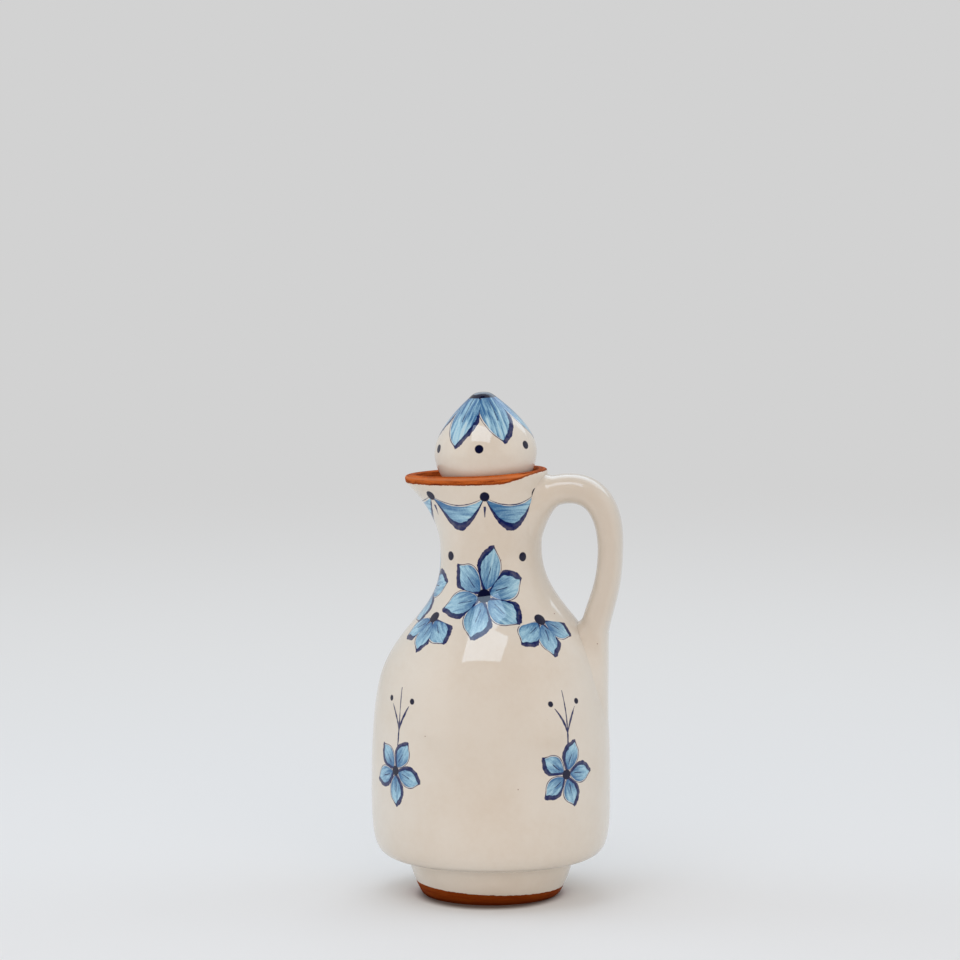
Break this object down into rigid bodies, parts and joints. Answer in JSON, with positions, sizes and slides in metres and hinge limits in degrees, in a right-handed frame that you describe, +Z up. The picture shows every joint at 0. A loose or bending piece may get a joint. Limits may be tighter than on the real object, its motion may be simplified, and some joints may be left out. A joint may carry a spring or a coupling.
{
  "type": "oil cruet",
  "caption": "Round-bellied glazed terracotta oil cruet with a pulled pouring lip, a strap handle and a corked lift-out stopper.",
  "frame": {"origin": "centre of the flat unglazed base, on the axis of the thrown jug", "axes": "+Z up along the jug's axis, -X towards the pouring spout, +X towards the handle"},
  "size_m": [0.1002, 0.0954, 0.2001],
  "materials": {
    "glaze": "gloss",
    "cork": "matte"
  },
  "bodies": {
    "jug": {"jug_body": "glaze", "handle": "glaze"},
    "stopper": {"stopper_knob": "glaze", "stopper_cork": "cork"}
  },
  "joints": [
    {"name": "stopper_lift", "type": "slide", "parent": "jug", "child": "stopper", "axis": [-0.0576, 0, 0.9983], "range_m": [0, 0.06]}
  ]
}
